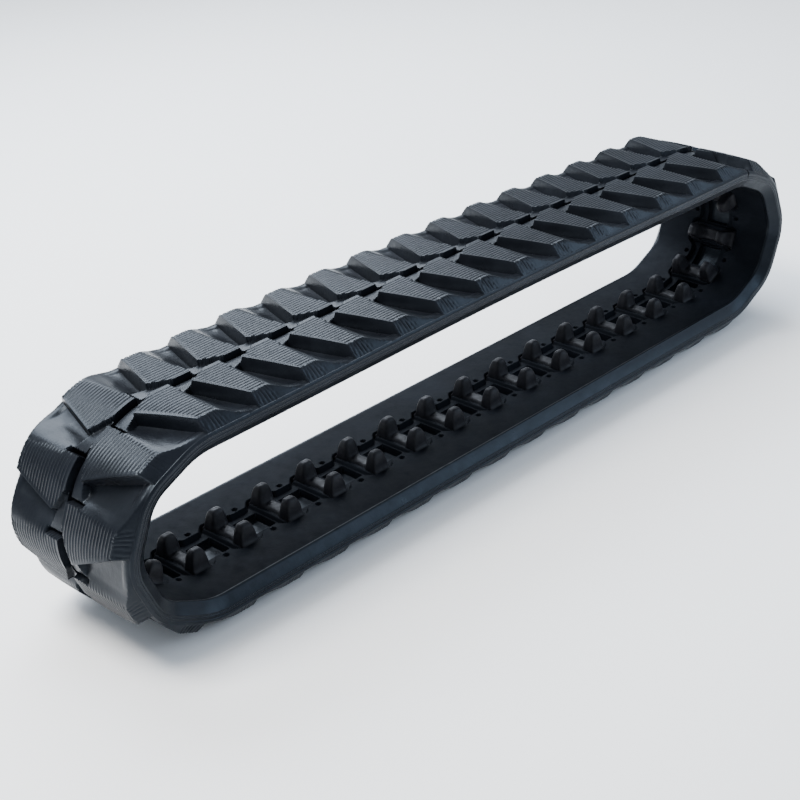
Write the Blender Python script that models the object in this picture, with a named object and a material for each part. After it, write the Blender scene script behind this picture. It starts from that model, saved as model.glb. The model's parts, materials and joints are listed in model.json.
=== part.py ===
"""Steel-core rubber track: an endless rubber belt, two steel-cord belts and one forged core for each link.

Metres, +Z up. The loop lies in the XZ plane, centred on X = 0 and Y = 0, and stands on its lower run.
The belt is drawn flat first, as (s, y, u): s runs along the cord line, y across, u towards the inside
of the loop. It is then bent round the loop.
"""

import bisect
import math

import bmesh
import bpy
from mathutils import Matrix, Vector

# Driving dimensions
PITCH = 0.072
RUN_LINKS = 14
END_FLEX_DEG = (25.0, 42.0, 46.0, 42.0, 25.0)
STIFF_LENGTH = 0.030
ARCH_RISE = 0.006
HALF_WIDTH = 0.100
INNER_FACE = 0.011
TREAD_BASE = -0.012
LUG_TOP = -0.029
GAP = 0.0003

# Rubber edge: a wide bevel on the inside and a small one on the outside
EDGE_BEVEL_WIDTH = 0.010
EDGE_BEVEL_DROP = 0.013
EDGE_FOOT = 0.003

# Tread lugs: the near row leads the far row by half a link, and both lean the same way
LUG_LEAN = 0.31
LUG_INNER_Y = 0.004
LUG_OUTER_Y = 0.085
LUG_FOOT_Y = 0.097
LUG_TOP_LENGTH = 0.036
LUG_STEEP_FOOT = 0.003
LUG_GENTLE_FOOT = 0.015
LUG_ROOT = 0.002
NEAR_LUG_LEAD = -0.0213

# Steel core: (y, half length at the bottom, half length at the top, top height) from wing tip inwards
CORE_BOTTOM = 0.0025
CORE_STATIONS = (
    (0.078, 0.012, 0.010, 0.0065),
    (0.033, 0.014, 0.012, 0.0080),
    (0.026, 0.014, 0.0055, 0.0330),
    (0.019, 0.014, 0.0055, 0.0330),
    (0.014, 0.012, 0.008, 0.0120),
)
WING_TOP = 0.008
CORE_WINDOW = (0.016, 0.0335)

# Pocket for a sprocket tooth, between two cores
POCKET_HALF = (0.017, 0.017)
POCKET_FLOOR = -0.0025

# Steel-cord belts
CORD_INNER_Y = 0.024
CORD_OUTER_Y = 0.075
CORD_THICKNESS = 0.0016

# Room to bend at the six cut sections
HINGE_GAP = 0.0004
NOTCH_INSIDE = math.tan(math.radians(17.5))
NOTCH_OUTSIDE = math.tan(math.radians(7.5))
FAR_OUT = 0.050

LINKS = 2 * (RUN_LINKS + len(END_FLEX_DEG) - 1)
FLEX_LENGTH = PITCH - STIFF_LENGTH
RIGHT_END = RUN_LINKS
TOP_RUN = RUN_LINKS + len(END_FLEX_DEG) - 1
LEFT_END = TOP_RUN + RUN_LINKS
BODIES = {
    "bottom_run": (0, RIGHT_END),
    "right_lower": (RIGHT_END, RIGHT_END + 2),
    "right_upper": (RIGHT_END + 2, TOP_RUN),
    "top_run": (TOP_RUN, LEFT_END),
    "left_upper": (LEFT_END, LEFT_END + 2),
    "left_lower": (LEFT_END + 2, LINKS),
}


def clear_scene():
    for obj in list(bpy.data.objects):
        bpy.data.objects.remove(obj)


def material(name, colour, roughness, metallic):
    made = bpy.data.materials.new(name)
    made.use_nodes = True
    shader = made.node_tree.nodes["Principled BSDF"]
    shader.inputs["Base Color"].default_value = (*colour, 1.0)
    shader.inputs["Roughness"].default_value = roughness
    shader.inputs["Metallic"].default_value = metallic
    return made


def flex_angle(section):
    """The bend, in radians, at the section before this link."""
    for first in (RIGHT_END, LEFT_END):
        step = (section - first) % LINKS
        if step < len(END_FLEX_DEG):
            return math.radians(END_FLEX_DEG[step])
    return 0.0


def walk_loop():
    """(start s, x, z, heading, curvature) of each straight or bent stretch of the cord line."""
    stretches = []
    s, x, z, heading = FLEX_LENGTH / 2, FLEX_LENGTH / 2 - RUN_LINKS * PITCH / 2, -LUG_TOP, 0.0
    for section in range(1, LINKS + 1):
        stretches.append((s, x, z, heading, 0.0))
        x += STIFF_LENGTH * math.cos(heading)
        z += STIFF_LENGTH * math.sin(heading)
        s += STIFF_LENGTH
        curvature = flex_angle(section % LINKS) / FLEX_LENGTH
        stretches.append((s, x, z, heading, curvature))
        x, z, heading = along(x, z, heading, curvature, FLEX_LENGTH)
        s += FLEX_LENGTH
    return stretches


def along(x, z, heading, curvature, distance):
    if curvature == 0.0:
        return x + distance * math.cos(heading), z + distance * math.sin(heading), heading
    turned = heading + curvature * distance
    x += (math.sin(turned) - math.sin(heading)) / curvature
    z -= (math.cos(turned) - math.cos(heading)) / curvature
    return x, z, turned


STRETCHES = walk_loop()
STARTS = [stretch[0] for stretch in STRETCHES]


def loop_at(s):
    """x, z and heading of the cord line. The upper run is arched a little."""
    if s < STARTS[0]:
        s += LINKS * PITCH
    start, x, z, heading, curvature = STRETCHES[bisect.bisect_right(STARTS, s) - 1]
    x, z, heading = along(x, z, heading, curvature, s - start)
    half_run = RUN_LINKS * PITCH / 2
    t = (s - TOP_RUN * PITCH - half_run) / half_run
    if abs(t) < 1.0:
        z += ARCH_RISE * (1 - t * t) ** 2
        heading += math.atan(4 * ARCH_RISE * t * (1 - t * t) / half_run)
    return x, z, heading


def bend(point):
    """Flat (s, y, u) to world."""
    x, z, heading = loop_at(point.x)
    return Vector((x - point.z * math.sin(heading), point.y, z + point.z * math.cos(heading)))


def hinge_point(section):
    x, z, _ = loop_at(section * PITCH)
    return Vector((x, 0.0, z))


def new_object(name, mesh, shade, origin):
    """Stores world-space vertices about the origin given."""
    mesh.transform(Matrix.Translation(-origin))
    mesh.materials.append(shade)
    obj = bpy.data.objects.new(name, mesh)
    obj.location = origin
    bpy.context.scene.collection.objects.link(obj)
    return obj


def add_loft(bm, rings):
    """Closed solid through rings that have the same number of points, with its faces pointing out."""
    rows = [[bm.verts.new(point) for point in ring] for ring in rings]
    count = len(rows[0])
    faces = [bm.faces.new(rows[0][::-1]), bm.faces.new(rows[-1])]
    for one, two in zip(rows, rows[1:]):
        for i in range(count):
            j = (i + 1) % count
            faces.append(bm.faces.new((one[i], one[j], two[j], two[i])))
    if volume(faces) < 0.0:
        bmesh.ops.reverse_faces(bm, faces=faces)


def volume(faces):
    total = 0.0
    for face in faces:
        first, *others = [vert.co for vert in face.verts]
        for one, two in zip(others, others[1:]):
            total += first.dot(one.cross(two)) / 6
    return total


def add_box(bm, low, high):
    flat = ((low[1], low[2]), (high[1], low[2]), (high[1], high[2]), (low[1], high[2]))
    add_loft(bm, [[(x, y, z) for y, z in flat] for x in (low[0], high[0])])


def mesh_from(bm, name):
    mesh = bpy.data.meshes.new(name)
    bm.to_mesh(mesh)
    bm.free()
    return mesh


def combined(mesh, tool_mesh, operation):
    """The result of one Boolean, as a new mesh. Both helpers are removed."""
    target = bpy.data.objects.new("target", mesh)
    tool = bpy.data.objects.new("tool", tool_mesh)
    for obj in (target, tool):
        bpy.context.scene.collection.objects.link(obj)
    cut = target.modifiers.new("cut", "BOOLEAN")
    cut.operation = operation
    cut.object = tool
    cut.solver = "EXACT"
    graph = bpy.context.evaluated_depsgraph_get()
    result = bpy.data.meshes.new_from_object(target.evaluated_get(graph))
    for obj in (target, tool):
        bpy.data.objects.remove(obj)
    return result


def base_strip(start, end):
    """The belt without lugs: a flat strip with bevelled edges."""
    foot = HALF_WIDTH - EDGE_FOOT
    half = (
        (HALF_WIDTH - EDGE_BEVEL_WIDTH, INNER_FACE),
        (HALF_WIDTH, INNER_FACE - EDGE_BEVEL_DROP),
        (HALF_WIDTH, TREAD_BASE + EDGE_FOOT),
        (foot, TREAD_BASE),
    )
    outline = list(half) + [(-y, u) for y, u in reversed(half)]
    bm = bmesh.new()
    add_loft(bm, [[(s, y, u) for y, u in outline] for s in (start, end)])
    return mesh_from(bm, "strip")


def add_lug(bm, lead, side):
    """One tread block, from the centre groove out to the edge. It leans back along the belt as it goes out."""
    rings = []
    root = TREAD_BASE + LUG_ROOT
    for y, top in ((LUG_INNER_Y, LUG_TOP), (LUG_OUTER_Y, LUG_TOP), (LUG_FOOT_Y, TREAD_BASE - LUG_ROOT)):
        s = lead - LUG_LEAN * y
        tail = s - LUG_TOP_LENGTH
        reach = (top - TREAD_BASE) / (LUG_TOP - TREAD_BASE)
        rings.append(
            (
                (s + LUG_STEEP_FOOT * reach, side * y, root),
                (s, side * y, top),
                (tail, side * y, top),
                (tail - LUG_GENTLE_FOOT * reach, side * y, root),
            )
        )
    add_loft(bm, rings)


def lugs(first, last):
    bm = bmesh.new()
    for link in range(first - 1, last + 2):
        centre = (link + 0.5) * PITCH
        add_lug(bm, centre + NEAR_LUG_LEAD, -1)
        add_lug(bm, centre + NEAR_LUG_LEAD + PITCH / 2, 1)
    return mesh_from(bm, "lugs")


def envelope(first, last):
    """The room that a body's rubber may take: its two ends are cut back so that the belt can bend."""
    ends = []
    for section, way in ((first, 1), (last, -1)):
        s = section * PITCH + way * HINGE_GAP / 2
        ends.append(
            [
                (s + way * FAR_OUT * NOTCH_OUTSIDE, -FAR_OUT),
                (s, 0.0),
                (s + way * FAR_OUT * NOTCH_INSIDE, FAR_OUT),
            ]
        )
    outline = ends[0] + ends[1][::-1]
    bm = bmesh.new()
    add_loft(bm, [[(s, y, u) for s, u in outline] for y in (-2 * HALF_WIDTH, 2 * HALF_WIDTH)])
    return mesh_from(bm, "envelope")


def core_seats(first, last):
    """Room for the buried wings, and the pockets between the cores."""
    bm = bmesh.new()
    half = max(station[1] for station in CORE_STATIONS) + GAP
    reach = CORE_STATIONS[0][0] + GAP
    for link in range(first, last):
        s = (link + 0.5) * PITCH
        add_box(bm, (s - half, -reach, CORE_BOTTOM - GAP), (s + half, reach, WING_TOP + GAP))
    for section in range(first, last + 1):
        s = section * PITCH
        low = (s - POCKET_HALF[0], -POCKET_HALF[1], POCKET_FLOOR)
        add_box(bm, low, (s + POCKET_HALF[0], POCKET_HALF[1], FAR_OUT))
    return mesh_from(bm, "seats")


def core_windows(first, last):
    """Openings round the horns and the bridge of each core."""
    bm = bmesh.new()
    for link in range(first, last):
        s = (link + 0.5) * PITCH
        low = (s - CORE_WINDOW[0], -CORE_WINDOW[1], CORE_BOTTOM - GAP)
        add_box(bm, low, (s + CORE_WINDOW[0], CORE_WINDOW[1], FAR_OUT))
    return mesh_from(bm, "windows")


def cord_tunnels(first, last):
    bm = bmesh.new()
    high = CORD_THICKNESS / 2 + GAP
    for side in (-1, 1):
        ys = sorted((side * (CORD_INNER_Y - GAP), side * (CORD_OUTER_Y + GAP)))
        add_box(bm, ((first - 1) * PITCH, ys[0], -high), ((last + 1) * PITCH, ys[1], high))
    return mesh_from(bm, "tunnels")


def bend_sections(first, last):
    """Where the flat shape is divided, so that it can bend: at each section with a bend, and on the arch."""
    cuts = []
    for section in range(first, last + 1):
        if flex_angle(section) > 0.0:
            cuts += [section * PITCH + FLEX_LENGTH * part for part in (-1 / 2, -1 / 6, 1 / 6, 1 / 2)]
        elif TOP_RUN < section < LEFT_END:
            cuts.append(section * PITCH)
    return cuts


def bent(mesh, first, last, name):
    """Divides a flat mesh at the bend sections and wraps it round the loop."""
    bm = bmesh.new()
    bm.from_mesh(mesh)
    for s in bend_sections(first, last):
        geometry = bm.verts[:] + bm.edges[:] + bm.faces[:]
        bmesh.ops.bisect_plane(bm, geom=geometry, plane_co=(s, 0, 0), plane_no=(1, 0, 0), dist=1e-6)
    bmesh.ops.remove_doubles(bm, verts=bm.verts, dist=2e-6)
    bmesh.ops.triangulate(bm, faces=bm.faces)
    for vert in bm.verts:
        vert.co = bend(vert.co)
    return mesh_from(bm, name)


def rubber_piece(body, first, last, shade, origin):
    mesh = base_strip((first - 2) * PITCH, (last + 2) * PITCH)
    mesh = combined(mesh, lugs(first, last), "UNION")
    mesh = combined(mesh, envelope(first, last), "INTERSECT")
    mesh = combined(mesh, core_seats(first, last), "DIFFERENCE")
    mesh = combined(mesh, core_windows(first, last), "DIFFERENCE")
    mesh = combined(mesh, cord_tunnels(first, last), "DIFFERENCE")
    name = body + "_rubber"
    return new_object(name, bent(mesh, first, last, name), shade, origin)


def cord_belt(body, first, last, side, shade, origin):
    """One piece of the steel-cord belt on one side."""
    name = body + ("_cords_near" if side < 0 else "_cords_far")
    ys = sorted((side * CORD_INNER_Y, side * CORD_OUTER_Y))
    half = CORD_THICKNESS / 2
    bm = bmesh.new()
    add_box(bm, (first * PITCH + HINGE_GAP, ys[0], -half), (last * PITCH - HINGE_GAP, ys[1], half))
    return new_object(name, bent(mesh_from(bm, name), first, last, name), shade, origin)


def core_mesh():
    """Forged core, with two wings, two guide horns and the bridge that a sprocket tooth pushes on."""
    stations = [(-y, *rest) for y, *rest in CORE_STATIONS] + list(reversed(CORE_STATIONS))
    rings = []
    for y, foot, head, top in stations:
        rings.append(((-foot, y, CORE_BOTTOM), (foot, y, CORE_BOTTOM), (head, y, top), (-head, y, top)))
    bm = bmesh.new()
    add_loft(bm, rings)
    return mesh_from(bm, "core")


def place_core(link, mesh, hub):
    s = (link + 0.5) * PITCH
    x, z, heading = loop_at(s)
    core = bpy.data.objects.new(f"core_{link + 1:02d}", mesh)
    core.parent = hub
    core.location = Vector((x, 0.0, z)) - hub.location
    core.rotation_euler = (0.0, -heading, 0.0)
    bpy.context.scene.collection.objects.link(core)


def hinge_section(body):
    """The section that a body turns about. The lower run is the fixed body."""
    first, last = BODIES[body]
    return last if body.startswith("left") or body == "top_run" else first


def build():
    clear_scene()
    rubber = material("black_rubber", (0.016, 0.018, 0.022), 0.45, 0.0)
    steel = material("forged_steel", (0.10, 0.10, 0.105), 0.5, 1.0)
    cord = material("brass_plated_cord", (0.45, 0.36, 0.2), 0.35, 1.0)
    mesh = core_mesh()
    mesh.materials.append(steel)
    for body, (first, last) in BODIES.items():
        origin = hinge_point(hinge_section(body) % LINKS)
        hub = bpy.data.objects.new(body + "_axis", None)
        hub.location = origin
        bpy.context.scene.collection.objects.link(hub)
        rubber_piece(body, first, last, rubber, origin)
        for side in (-1, 1):
            cord_belt(body, first, last, side, cord, origin)
        for link in range(first, last):
            place_core(link, mesh, hub)


build()
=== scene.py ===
"""Looks of the rubber track: moulded skins, forged cores, studio and camera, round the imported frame."""

import bisect
import json
import math

import bmesh
import bpy
import numpy as np
from mathutils import Matrix, Vector


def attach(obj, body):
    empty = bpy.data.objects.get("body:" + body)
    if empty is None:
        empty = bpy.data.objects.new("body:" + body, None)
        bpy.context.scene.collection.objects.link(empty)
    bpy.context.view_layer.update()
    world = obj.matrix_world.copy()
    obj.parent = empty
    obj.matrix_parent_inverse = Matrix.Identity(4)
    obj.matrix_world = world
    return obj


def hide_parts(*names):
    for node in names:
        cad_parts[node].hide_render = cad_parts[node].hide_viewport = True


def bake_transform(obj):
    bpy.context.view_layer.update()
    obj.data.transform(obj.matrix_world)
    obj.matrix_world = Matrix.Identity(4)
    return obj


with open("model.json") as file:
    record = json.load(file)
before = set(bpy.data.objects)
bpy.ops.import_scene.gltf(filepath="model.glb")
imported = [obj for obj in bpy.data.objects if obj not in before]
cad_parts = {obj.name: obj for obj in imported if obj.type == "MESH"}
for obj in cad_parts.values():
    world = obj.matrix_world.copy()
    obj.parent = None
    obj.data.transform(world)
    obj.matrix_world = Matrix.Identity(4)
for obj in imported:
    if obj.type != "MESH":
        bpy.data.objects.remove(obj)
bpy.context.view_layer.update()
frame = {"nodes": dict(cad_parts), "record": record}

# The loop, as in the CAD: s runs along the cord line, y across, u towards the inside. Metres.
PITCH = 0.072
RUN_LINKS = 14
END_FLEX_DEG = (25.0, 42.0, 46.0, 42.0, 25.0)
STIFF_LENGTH = 0.030
FLEX_LENGTH = PITCH - STIFF_LENGTH
ARCH_RISE = 0.005
CORD_HEIGHT = 0.029
LINKS = 2 * (RUN_LINKS + len(END_FLEX_DEG) - 1)
RIGHT_END = RUN_LINKS
TOP_RUN = RUN_LINKS + len(END_FLEX_DEG) - 1
LEFT_END = TOP_RUN + RUN_LINKS

# Belt in millimetres. Tread heights are outside the cord line, and distances across are from the middle.
LINK = 72.0
HALF = LINK / 2
EDGE = 100.0
LUG_TOP = 28.9
FLOOR = 13.0
SHOULDER = 10.5
SLIT_FLOOR = 12.0
SLIT_WALL = (1.6, 2.6)
LUG_LEAN = 0.31
NEAR_LUG_LEAD = -21.3
LEAD = HALF + NEAR_LUG_LEAD
LUG_OUTER = 85.0
LUG_FOOT = 97.5
SLOT_DEPTH = 14.0
SLOT_OUTER = 24.0
PAD_DROP = 6.5
PAD_START = 41.0
PAD_CORNER = 15.5
RIB_SPACING = 4.7
RIB_DEPTH = 0.55
FAN_MIDDLE = 59.0
FAN_HUB = 62.0
FAN_STEP = 0.16
FAN_HALF_WIDTH = 14.5

# Inside of the belt, in millimetres. Heights are inside the cord line.
INNER_FACE = 11.0
PATH_DEPTH = 0.6
RECESS_DEPTH = 7.5
DIMPLE_DEPTH = 5.0
DIMPLE_AT = 33.5
COLLAR_HEIGHT = 4.5
POCKET_DEPTH = 8.5
INSIDE_EDGE = 88.0
INSIDE_START = 2.0

# Skins: each is modelled with spare length and then cut, and its edges over the sharp angle stay hard
SPARE_BEFORE = 60
SPARE_AFTER = 120
RUBBER_SHARP_DEG = 38

# Cut at the open pivot: both ends are set back, and lean away inside and outside the cord line
PIVOT_CLEARANCE = 0.15
PIVOT_LEAN_INSIDE = math.tan(math.radians(2.5))
PIVOT_LEAN_OUTSIDE = math.tan(math.radians(6.2))

# Cores
CORE_POINTS = 16
CORE_ROUNDING = 0.42
CORE_SHARP_DEG = 50

# Camera: metres, degrees, and millimetres of lens
CAMERA_AT = (-1.4385, -1.293, 1.047)
CAMERA_YAW_DEG = 45.8
CAMERA_PITCH_DEG = 27.2
CAMERA_ROLL_DEG = -2.4
CAMERA_LENS = 75.7


def flex_angle(section):
    for first in (RIGHT_END, LEFT_END):
        step = (section - first) % LINKS
        if step < len(END_FLEX_DEG):
            return math.radians(END_FLEX_DEG[step])
    return 0.0


def along(x, z, heading, curvature, distance):
    if curvature == 0.0:
        return x + distance * math.cos(heading), z + distance * math.sin(heading), heading
    turned = heading + curvature * distance
    x += (math.sin(turned) - math.sin(heading)) / curvature
    z -= (math.cos(turned) - math.cos(heading)) / curvature
    return x, z, turned


def walk_loop():
    stretches = []
    s, x, z, heading = FLEX_LENGTH / 2, FLEX_LENGTH / 2 - RUN_LINKS * PITCH / 2, CORD_HEIGHT, 0.0
    for section in range(1, LINKS + 1):
        bend_curvature = flex_angle(section % LINKS) / FLEX_LENGTH
        for length, curvature in ((STIFF_LENGTH, 0.0), (FLEX_LENGTH, bend_curvature)):
            stretches.append((s, x, z, heading, curvature))
            x, z, heading = along(x, z, heading, curvature, length)
            s += length
    return stretches


STRETCHES = walk_loop()
STARTS = [stretch[0] for stretch in STRETCHES]


def loop_at(s):
    """x, z and heading of the cord line at s."""
    s = (s - STARTS[0]) % (LINKS * PITCH) + STARTS[0]
    start, x, z, heading, curvature = STRETCHES[bisect.bisect_right(STARTS, s) - 1]
    x, z, heading = along(x, z, heading, curvature, s - start)
    half_run = RUN_LINKS * PITCH / 2
    t = (s - TOP_RUN * PITCH - half_run) / half_run
    if abs(t) < 1.0:
        z += ARCH_RISE * (1 - t * t) ** 2
        heading += math.atan(4 * ARCH_RISE * t * (1 - t * t) / half_run)
    return x, z, heading


def bend(points):
    """Flat (s, y, u) in millimetres to world metres."""
    points = points / 1000
    levels, index = np.unique(np.round(points[:, 0], 7), return_inverse=True)
    at = np.array([loop_at(s) for s in levels])[index.reshape(-1)]
    u = points[:, 2]
    x = at[:, 0] - u * np.sin(at[:, 2])
    z = at[:, 1] + u * np.cos(at[:, 2])
    return np.stack([x, points[:, 1], z], axis=1)


def smooth(x, low, high):
    t = np.clip((x - low) / (high - low), 0.0, 1.0)
    return t * t * (3 - 2 * t)


def ramp(x, low, high):
    return np.clip((x - low) / (high - low), 0.0, 1.0)


# ---- tread: height outside the cord line, for phase p along a leaning lug and distance a from the middle

def tread_height(p, a):
    """p is 0 at a lug's steep front edge and runs to 72, the front edge of the lug behind."""
    top = LUG_TOP - 0.8 * ((a - 40) / 45) ** 2
    tail = 20.0 + 0.42 * (a - 20.0)
    lug = np.maximum(ramp(-p, -2.6, -0.2), smooth(p, 4.0, tail + 6.0) ** 1.3)
    floor = FLOOR - 0.8 * np.sin(np.pi * ramp(a, 30.0, 90.0))
    height = floor + (top - floor) * lug
    height = np.where((p > slot_line(a)) & (a < SLOT_OUTER), np.maximum(height, top), height)
    height = height + (top - PAD_DROP - height) * on_pad(p, a)
    height = height - slot_cut(p, a)
    height = outer_end(a, height)
    height = height + top_ribs(p, a, tail) - fan_grooves(p, a)
    height = SLIT_FLOOR + (height - SLIT_FLOOR) * ramp(a, *SLIT_WALL)
    return np.minimum(height, LUG_TOP) - (FLOOR - SHOULDER) * smooth(a, EDGE - 2.0, EDGE)


def slot_line(a):
    """Phase of the short cut that runs straight across the belt beside the centre slit."""
    return 14.0 + LUG_LEAN * a


def slot_cut(p, a):
    across = 1.0 - ramp(np.abs(p - slot_line(a)), 1.2, 2.1)
    return SLOT_DEPTH * across * (1.0 - smooth(a, SLOT_OUTER, SLOT_OUTER + 2.5))


def on_pad(p, a):
    """1 on the low wedge beside the slit. It starts behind a lug's front corner and runs on to the cut."""
    ahead = ramp(PAD_CORNER + 9.0 * p / 25.0 - a, -0.8, 0.8) * (p < slot_line(a))
    beside = ramp(2.0 + (p - PAD_START) * 14.0 / 31.0 - a, -0.5, 0.5) * (p > PAD_START)
    return np.maximum(ahead, beside)


def outer_end(a, height):
    """Lug ends slope down to the edge, and each pocket between them closes with a rounded rim."""
    slope = LUG_TOP - (LUG_TOP - FLOOR) * ramp(a, LUG_OUTER, LUG_FOOT) ** 1.15
    lip = 1.6 * smooth(a, 84.0, 90.0) * (1.0 - smooth(a, 93.0, 98.0))
    return np.minimum(height, slope) + lip * ramp(FLOOR + 6.0 - height, 0.0, 5.0)


def top_ribs(p, a, tail):
    """Fine moulded ribs that run along the belt on the lug tops."""
    wave = np.abs((a / RIB_SPACING) % 1.0 - 0.5) * 2
    ridge = smooth(wave, 0.45, 0.95)
    ends = smooth(p, tail - 4.0, tail + 2.0) * (1 - smooth(p, 69.0, 71.0))
    on_top = ends * (a > 4.0) * (a < LUG_OUTER - 1.0) * (1.0 - on_pad(p, a))
    return RIB_DEPTH * (ridge - 1.0) * on_top


def fan_grooves(p, a):
    """Thin grooves that spread out over the sloping end of each lug."""
    angle = (p - FAN_MIDDLE) / (a - FAN_HUB + 1e-6)
    wave = np.abs((angle / FAN_STEP) % 1.0 - 0.5) * 2
    cut = 1.0 - smooth(wave, 0.10, 0.42)
    on_slope = smooth(a, 80.0, 84.0) * (1 - smooth(a, LUG_FOOT - 2.0, LUG_FOOT))
    return cut * on_slope * smooth(FAN_HALF_WIDTH - np.abs(p - FAN_MIDDLE), 0.0, 1.5)


def tread_columns():
    """Distances from the middle at which the tread is sampled."""
    groove = [0.0, 1.0, 1.6, 2.1, 2.6, 3.4, 4.4]
    ribs = [RIB_SPACING + RIB_SPACING / 4 * i for i in range(1, 67)]
    fan = [84.0, 85.0, 86.2, 87.6, 89.0, 90.5, 92.0, 93.5, 95.0, 96.3, 97.5, 98.3, 99.0, 99.6]
    return groove + [a for a in ribs if a < 83.4] + fan


def phase_samples():
    """Phases at which the belt is sampled, closest behind a front edge. The second half repeats the first."""
    half = [
        0.0, 0.4, 1.0, 1.8, 2.6, 3.4, 4.6, 6.0, 7.5, 9.0, 10.5, 12.0, 13.2, 14.4, 15.6, 16.8, 18.0, 19.2,
        20.4, 21.6, 22.8, 24.0, 25.2, 26.6, 28.0, 29.5, 31.0, 32.5, 34.0, 35.0, 35.6,
    ]
    return half + [HALF + value for value in half]


# ---- side and inside of the belt

def side_profile():
    """(a, u) down the side: shoulder, band with a raised line, and the wide bevel up to the inner crest."""
    return [
        (99.8, -10.2), (99.9, -9.0), (99.4, -8.4), (99.4, -6.2), (99.9, -5.6), (99.9, -4.4), (99.4, -3.8),
        (99.4, -2.9), (99.9, -2.4), (99.8, -1.6), (99.2, -1.0), (98.4, -0.2), (91.6, 9.3), (90.8, 10.4),
        (89.8, 10.9), (88.6, 10.9), (87.6, 10.5),
    ]


def inner_columns():
    """Distances from the middle at which the inside is sampled, closest round the horns."""
    edge = [86.6, 84.0, 78.2, 70.0, 60.0, 52.0, 46.0]
    round_horns = [43.0 - 1.5 * i for i in range(15)] + [20.0]
    middle = [18.0, 17.0, 16.0, 15.0, 14.0, 12.0, 9.0, 6.0, 3.0, 0.0]
    return edge + round_horns + middle


def inner_height(q, a):
    """u of the inside face. q is 0 at a core and 36 halfway to the next."""
    border = 37.0 - 10.0 * smooth(q, 13.0, 26.0)
    recess = INNER_FACE - RECESS_DEPTH * (1 - ramp(a, border - 1.6, border + 0.6))
    dimple = DIMPLE_DEPTH * (1 - ramp(np.hypot(q - HALF, a - DIMPLE_AT), 2.2, 3.6))
    collar = COLLAR_HEIGHT * (1 - smooth(q, 13.0, 17.0)) * (1 - smooth(a, 31.5, 35.0))
    pocket = POCKET_DEPTH * smooth(q, 17.5, 20.0) * (1 - smooth(a, 15.5, 18.0))
    height = np.minimum(INNER_FACE - PATH_DEPTH, recess) - dimple
    height = np.where(a < 36.0, height + collar, height)
    return height - pocket * (a < 19.0)


# ---- skins

def add_object(name, data):
    made = bpy.data.objects.new(name, data)
    bpy.context.scene.collection.objects.link(made)
    return made


def end_cuts(at):
    """How far an end is cut back, and how far each of its cut planes leans. Two planes make a shallow V."""
    if abs(at - TOP_RUN * LINK) < 0.01:
        return PIVOT_CLEARANCE, (PIVOT_LEAN_INSIDE, -PIVOT_LEAN_OUTSIDE)
    return 0.0, (0.0,)


def cut_end(bm, at, way, lean):
    everything = bm.verts[:] + bm.edges[:] + bm.faces[:]
    cut = bmesh.ops.bisect_plane(
        bm, geom=everything, dist=1e-3, plane_co=(at, 0, 0), plane_no=(way, 0, lean), clear_outer=True)
    edges = [item for item in cut["geom_cut"] if isinstance(item, bmesh.types.BMEdge)]
    bmesh.ops.holes_fill(bm, edges=edges, sides=0)


def belt_columns(phase):
    """Flat points of each line along the belt, once round its section, with one point for each phase."""
    inner = inner_columns()
    around = [("tread", -1, a, 0.0) for a in tread_columns()]
    around += [("side", -1, a, u) for a, u in side_profile()]
    around += [("inside", -1, a, 0.0) for a in inner]
    around += [("inside", 1, a, 0.0) for a in inner[::-1][1:]]
    around += [("side", 1, a, u) for a, u in side_profile()[::-1]]
    around += [("tread", 1, a, 0.0) for a in tread_columns()[::-1][:-1]]
    columns = []
    for kind, side, a, side_height in around:
        s = phase + LEAD - LUG_LEAN * (a if kind == "tread" else EDGE)
        if kind == "tread":
            p = (phase + (0.0 if side < 0 else HALF)) % LINK
            u = -tread_height(p, np.full_like(p, a))
        elif kind == "side":
            u = np.full_like(s, side_height)
        else:
            q = HALF - np.abs((s + HALF) % LINK - HALF)
            u = inner_height(q, np.full_like(q, a))
        columns.append(np.stack([s, np.full_like(s, side * a), u], axis=1))
    return np.stack(columns, axis=1)


def tube_mesh(points):
    """Open tube through rows of points, each row once round the section."""
    rows, count, _ = points.shape
    index = np.arange(rows * count).reshape(rows, count)
    wrapped = np.concatenate([index, index[:, :1]], axis=1)
    corners = [wrapped[:-1, :-1], wrapped[1:, :-1], wrapped[1:, 1:], wrapped[:-1, 1:]]
    quads = np.stack(corners, axis=-1).reshape(-1, 4)
    mesh = bpy.data.meshes.new("flat")
    mesh.from_pydata(points.reshape(-1, 3).tolist(), [], quads.tolist())
    return mesh


def flat_piece(first_mm, last_mm):
    """Flat length of belt from first to last, as a bmesh that is cut and capped at both ends."""
    start = int(math.floor((first_mm - LEAD - SPARE_BEFORE) / LINK))
    stop = int(math.ceil((last_mm - LEAD + SPARE_AFTER) / LINK))
    phase = np.array([LINK * k + p for k in range(start, stop) for p in phase_samples()])
    mesh = tube_mesh(belt_columns(phase))
    bm = bmesh.new()
    bm.from_mesh(mesh)
    bpy.data.meshes.remove(mesh)
    for at, way in ((first_mm, -1), (last_mm, 1)):
        clearance, leans = end_cuts(at)
        for lean in leans:
            cut_end(bm, at - way * clearance, way, lean)
    bmesh.ops.recalc_face_normals(bm, faces=bm.faces)
    return bm


def rubber_piece(name, first, last, materials):
    """One bent skin, from section to section. The inside faces take the second material."""
    bm = flat_piece(first * LINK, last * LINK)
    for face in bm.faces:
        middle = face.calc_center_median()
        face.material_index = int(middle.z > INSIDE_START and abs(middle.y) < INSIDE_EDGE)
    mesh = bpy.data.meshes.new(name)
    bm.to_mesh(mesh)
    bm.free()
    flat = np.empty(len(mesh.vertices) * 3)
    mesh.vertices.foreach_get("co", flat)
    flat = flat.reshape(-1, 3)
    mesh.vertices.foreach_set("co", bend(flat).reshape(-1))
    mesh.update()
    mesh.shade_smooth()
    mesh.set_sharp_from_angle(angle=math.radians(RUBBER_SHARP_DEG))
    for material in materials:
        mesh.materials.append(material)
    return add_object(name, mesh)


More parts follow.
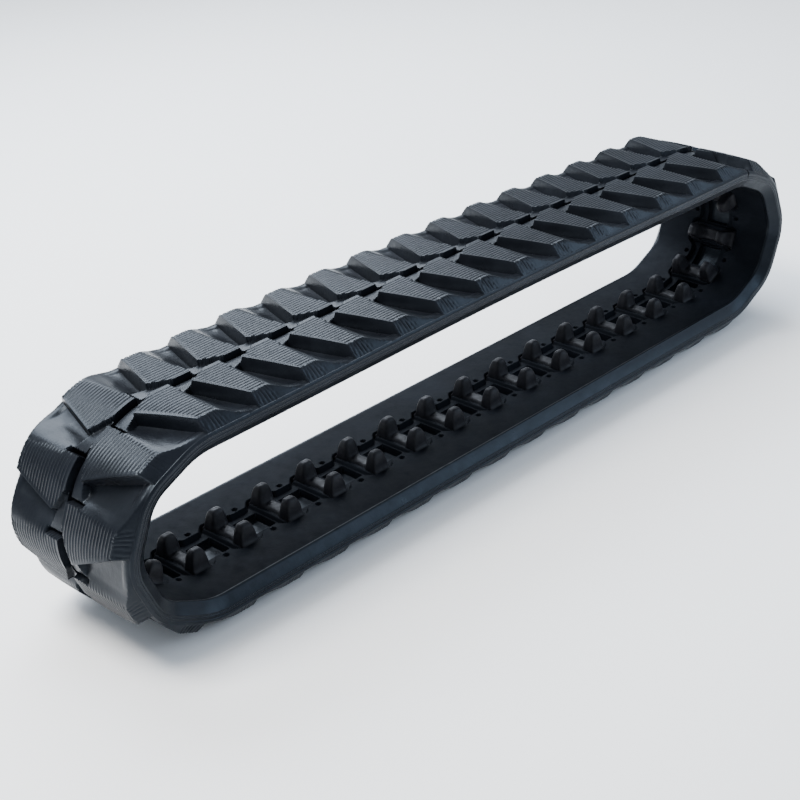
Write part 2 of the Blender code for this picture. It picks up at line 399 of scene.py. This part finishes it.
def blend_at(piece, section):
    """Bakes the piece's placement into its mesh. The cord line at the section is looked up but not used."""
    x, z, heading = loop_at(section * PITCH)
    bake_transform(piece)


# ---- cores

def core_rings():
    """Sections across the belt: (y, half length at foot, half length at head, foot u, head u)."""
    wing = [(78, 11, 9, 3.0, 6.0), (70, 12.5, 11, 2.6, 7.2), (36, 13.5, 12, 2.6, 8.0)]
    horn = [
        (33.2, 13.8, 11.4, 2.6, 11.0), (32.4, 13.8, 10.4, 2.6, 17.0), (31.4, 13.8, 9.4, 2.6, 25.0),
        (30.0, 13.8, 8.6, 2.6, 29.6), (28.0, 13.8, 8.0, 2.6, 31.8), (25.0, 13.8, 7.6, 2.6, 32.6),
        (21.5, 13.8, 7.6, 2.6, 32.6), (19.0, 13.6, 7.8, 2.6, 31.4), (17.4, 13.2, 8.2, 2.6, 27.0),
        (15.8, 12.6, 8.4, 2.6, 17.0), (13.6, 12.0, 8.0, 2.6, 12.4),
    ]
    bridge = [(9.0, 11.0, 7.0, 2.6, 11.8), (3.0, 11.0, 7.0, 2.6, 12.4)]
    side = wing + horn + bridge
    return [(-y, *rest) for y, *rest in side] + side[::-1]


def core_section(y, foot, head, low, high):
    """Rounded trapezoid, with CORE_POINTS points."""
    points = []
    for i in range(CORE_POINTS):
        angle = 2 * math.pi * (i + 0.5) / CORE_POINTS
        c, s = math.cos(angle), math.sin(angle)
        x = math.copysign(abs(c) ** CORE_ROUNDING, c)
        t = (math.copysign(abs(s) ** CORE_ROUNDING, s) + 1) / 2
        points.append((x * (foot + (head - foot) * t), y, low + (high - low) * t))
    return points


def core_piece(link, material):
    s = (link + 0.5) * PITCH
    x, z, heading = loop_at(s)
    place = Matrix.Translation((x, 0, z)) @ Matrix.Rotation(-heading, 4, "Y")
    bm = bmesh.new()
    sections = [core_section(*ring) for ring in core_rings()]
    rows = [[bm.verts.new(place @ (Vector(p) / 1000)) for p in section] for section in sections]
    for one, two in zip(rows, rows[1:]):
        for i in range(CORE_POINTS):
            j = (i + 1) % CORE_POINTS
            bm.faces.new((one[i], one[j], two[j], two[i]))
    bm.faces.new(rows[0][::-1])
    bm.faces.new(rows[-1])
    bmesh.ops.recalc_face_normals(bm, faces=bm.faces)
    name = f"core_look_{link + 1:02d}"
    mesh = bpy.data.meshes.new(name)
    bm.to_mesh(mesh)
    bm.free()
    mesh.shade_smooth()
    mesh.set_sharp_from_angle(angle=math.radians(CORE_SHARP_DEG))
    mesh.materials.append(material)
    return add_object(name, mesh)


# ---- materials

def new_material(name):
    """The material, its nodes, its links, its shader and its object coordinates."""
    made = bpy.data.materials.new(name)
    made.use_nodes = True
    nodes = made.node_tree.nodes
    place = nodes.new("ShaderNodeTexCoord").outputs["Object"]
    return made, nodes, made.node_tree.links, nodes["Principled BSDF"], place


def noise(nodes, links, scale, detail, rough, place):
    node = nodes.new("ShaderNodeTexNoise")
    node.inputs["Scale"].default_value = scale
    node.inputs["Detail"].default_value = detail
    node.inputs["Roughness"].default_value = rough
    links.new(place, node.inputs["Vector"])
    return node.outputs["Fac"]


def colour_ramp(nodes, links, value, stops):
    node = nodes.new("ShaderNodeValToRGB")
    elements = node.color_ramp.elements
    while len(elements) < len(stops):
        elements.new(0.5)
    for element, (position, colour) in zip(elements, stops):
        element.position = position
        element.color = (*colour, 1.0)
    links.new(value, node.inputs["Fac"])
    return node.outputs["Color"]


def bump(nodes, links, height, strength, distance, normal=None):
    node = nodes.new("ShaderNodeBump")
    node.inputs["Strength"].default_value = strength
    node.inputs["Distance"].default_value = distance
    links.new(height, node.inputs["Height"])
    if normal is not None:
        links.new(normal, node.inputs["Normal"])
    return node.outputs["Normal"]


def grey(v):
    return (v, v, v)


def rubber_material(name, gloss, shine):
    """gloss is the specular level, and shine takes the roughness down."""
    made, nodes, links, shader, place = new_material(name)
    patches = noise(nodes, links, 14.0, 5.0, 0.62, place)
    blacks = [
        (0.30, (0.0036, 0.0042, 0.0056)),
        (0.55, (0.0058, 0.0068, 0.0092)),
        (0.75, (0.0100, 0.0118, 0.0155)),
    ]
    links.new(colour_ramp(nodes, links, patches, blacks), shader.inputs["Base Color"])
    smears = noise(nodes, links, 55.0, 6.0, 0.7, place)
    dulls = [(0.30, grey(0.62 - shine)), (0.55, grey(0.70 - shine)), (0.78, grey(0.84 - shine))]
    links.new(colour_ramp(nodes, links, smears, dulls), shader.inputs["Roughness"])
    shader.inputs["Specular IOR Level"].default_value = gloss
    shader.inputs["Specular Tint"].default_value = (0.72, 0.85, 1.0, 1.0)
    grain = noise(nodes, links, 900.0, 3.0, 0.6, place)
    waves = noise(nodes, links, 120.0, 3.0, 0.5, place)
    fine = bump(nodes, links, grain, 0.10, 0.0006)
    broad = bump(nodes, links, waves, 0.22, 0.0012, fine)
    links.new(broad, shader.inputs["Normal"])
    return made


def core_material():
    made, nodes, links, shader, place = new_material("coated_core_steel")
    patches = noise(nodes, links, 60.0, 5.0, 0.6, place)
    greys = [(0.3, (0.006, 0.006, 0.008)), (0.7, (0.017, 0.017, 0.021))]
    links.new(colour_ramp(nodes, links, patches, greys), shader.inputs["Base Color"])
    dulls = [(0.3, grey(0.62)), (0.7, grey(0.42))]
    links.new(colour_ramp(nodes, links, patches, dulls), shader.inputs["Roughness"])
    shader.inputs["Metallic"].default_value = 0.1
    shader.inputs["Specular IOR Level"].default_value = 0.2
    scale = noise(nodes, links, 350.0, 4.0, 0.6, place)
    links.new(bump(nodes, links, scale, 0.3, 0.0008), shader.inputs["Normal"])
    return made


def cord_material():
    made, nodes, links, shader, place = new_material("brass_cord")
    strands = nodes.new("ShaderNodeTexWave")
    strands.bands_direction = "Y"
    strands.inputs["Scale"].default_value = 60.0
    links.new(place, strands.inputs["Vector"])
    brass = [(0.2, (0.10, 0.08, 0.05)), (0.8, (0.45, 0.36, 0.2))]
    links.new(colour_ramp(nodes, links, strands.outputs["Fac"], brass), shader.inputs["Base Color"])
    shader.inputs["Metallic"].default_value = 1.0
    shader.inputs["Roughness"].default_value = 0.4
    return made


def floor_material():
    made, nodes, links, shader, place = new_material("studio_floor")
    patches = noise(nodes, links, 3.0, 2.0, 0.5, place)
    whites = [(0.3, grey(0.955)), (0.7, grey(0.965))]
    links.new(colour_ramp(nodes, links, patches, whites), shader.inputs["Base Color"])
    shader.inputs["Roughness"].default_value = 0.9
    shader.inputs["Specular IOR Level"].default_value = 0.1
    return made


# ---- assembly

def skin_plan():
    """(name, first section, last section, section it bends at, body, next body, node it replaces)"""
    half_run = RUN_LINKS / 2
    right, left = RIGHT_END, LEFT_END
    return [
        ("skin_bottom_right", half_run, right + 1, right,
         "bottom_run", "right_lower", "bottom_run_rubber"),
        ("skin_right_middle", right + 1, right + 3, right + 2,
         "right_lower", "right_upper", "right_lower_rubber"),
        ("skin_right_upper", right + 3, TOP_RUN, None,
         "right_upper", None, "right_upper_rubber"),
        ("skin_top_right", TOP_RUN, TOP_RUN + half_run, None,
         "top_run", None, "top_run_rubber"),
        ("skin_top_left", TOP_RUN + half_run, left + 1, left,
         "top_run", "left_upper", "left_upper_rubber"),
        ("skin_left_middle", left + 1, left + 3, left + 2,
         "left_upper", "left_lower", "left_lower_rubber"),
        ("skin_bottom_left", left + 3, LINKS + half_run, LINKS,
         "left_lower", "bottom_run", None),
    ]


def build_rubber():
    rubber = [rubber_material("moulded_rubber", 0.17, 0.36), rubber_material("dusty_rubber", 0.05, 0.05)]
    for name, first, last, section, body_a, body_b, node in skin_plan():
        piece = rubber_piece(name, first, last, rubber)
        if body_b is None:
            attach(piece, body_a)
        else:
            blend_at(piece, section)
        if node:
            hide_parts(node)


def body_of_link(link):
    for body, nodes in frame["record"]["behaviour"]["bodies"].items():
        if f"core_{link + 1:02d}" in nodes:
            return body


def build_cores():
    steel = core_material()
    for link in range(LINKS):
        piece = core_piece(link, steel)
        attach(piece, body_of_link(link))
        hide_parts(f"core_{link + 1:02d}")


def dress_cords():
    cord = cord_material()
    for name, obj in frame["nodes"].items():
        if "_cords_" in name:
            obj.data.materials.clear()
            obj.data.materials.append(cord)


def add_light(name, location, aim, energy, size, colour):
    data = bpy.data.lights.new(name, "AREA")
    data.energy = energy
    data.color = colour
    data.shape = "RECTANGLE"
    data.size, data.size_y = size
    light = add_object(name, data)
    light.location = location
    light.rotation_euler = (Vector(aim) - Vector(location)).to_track_quat("-Z", "Y").to_euler()


def build_studio():
    bm = bmesh.new()
    bmesh.ops.create_grid(bm, x_segments=4, y_segments=4, size=6.0)
    mesh = bpy.data.meshes.new("floor")
    bm.to_mesh(mesh)
    bm.free()
    mesh.materials.append(floor_material())
    floor = add_object("floor", mesh)
    floor.location.z = -0.0005
    world = bpy.data.worlds.new("studio")
    world.use_nodes = True
    background = world.node_tree.nodes["Background"]
    background.inputs["Color"].default_value = (0.80, 0.89, 1.0, 1.0)
    background.inputs["Strength"].default_value = 0.80
    bpy.context.scene.world = world
    add_light("sky", (0.6, 1.7, 2.0), (0, 0, 0.1), 130, (2.6, 1.4), (0.84, 0.91, 1.0))
    add_light("key", (-1.2, 0.5, 2.4), (0, 0, 0.1), 120, (1.0, 1.0), (1.0, 0.98, 0.95))
    add_light("rim", (1.5, -1.5, 1.15), (0.1, 0, 0.05), 15, (1.6, 0.5), (0.62, 0.79, 1.0))


def build_camera():
    """Long lens, from the near left, above the track."""
    yaw, pitch, roll = map(math.radians, (CAMERA_YAW_DEG, CAMERA_PITCH_DEG, CAMERA_ROLL_DEG))
    forward = Vector((math.sin(yaw) * math.cos(pitch), math.cos(yaw) * math.cos(pitch), -math.sin(pitch)))
    level = Vector((math.cos(yaw), -math.sin(yaw), 0))
    up = level.cross(forward)
    right = level * math.cos(roll) + up * math.sin(roll)
    top = -level * math.sin(roll) + up * math.cos(roll)
    data = bpy.data.cameras.new("camera")
    data.sensor_width = 36.0
    data.lens = CAMERA_LENS
    data.clip_start = 0.05
    camera = add_object("camera", data)
    turn = Matrix((right, top, -forward)).transposed()
    camera.matrix_world = Matrix.Translation(CAMERA_AT) @ turn.to_4x4()
    bpy.context.scene.camera = camera


build_rubber()
build_cores()
dress_cords()
build_studio()
build_camera()
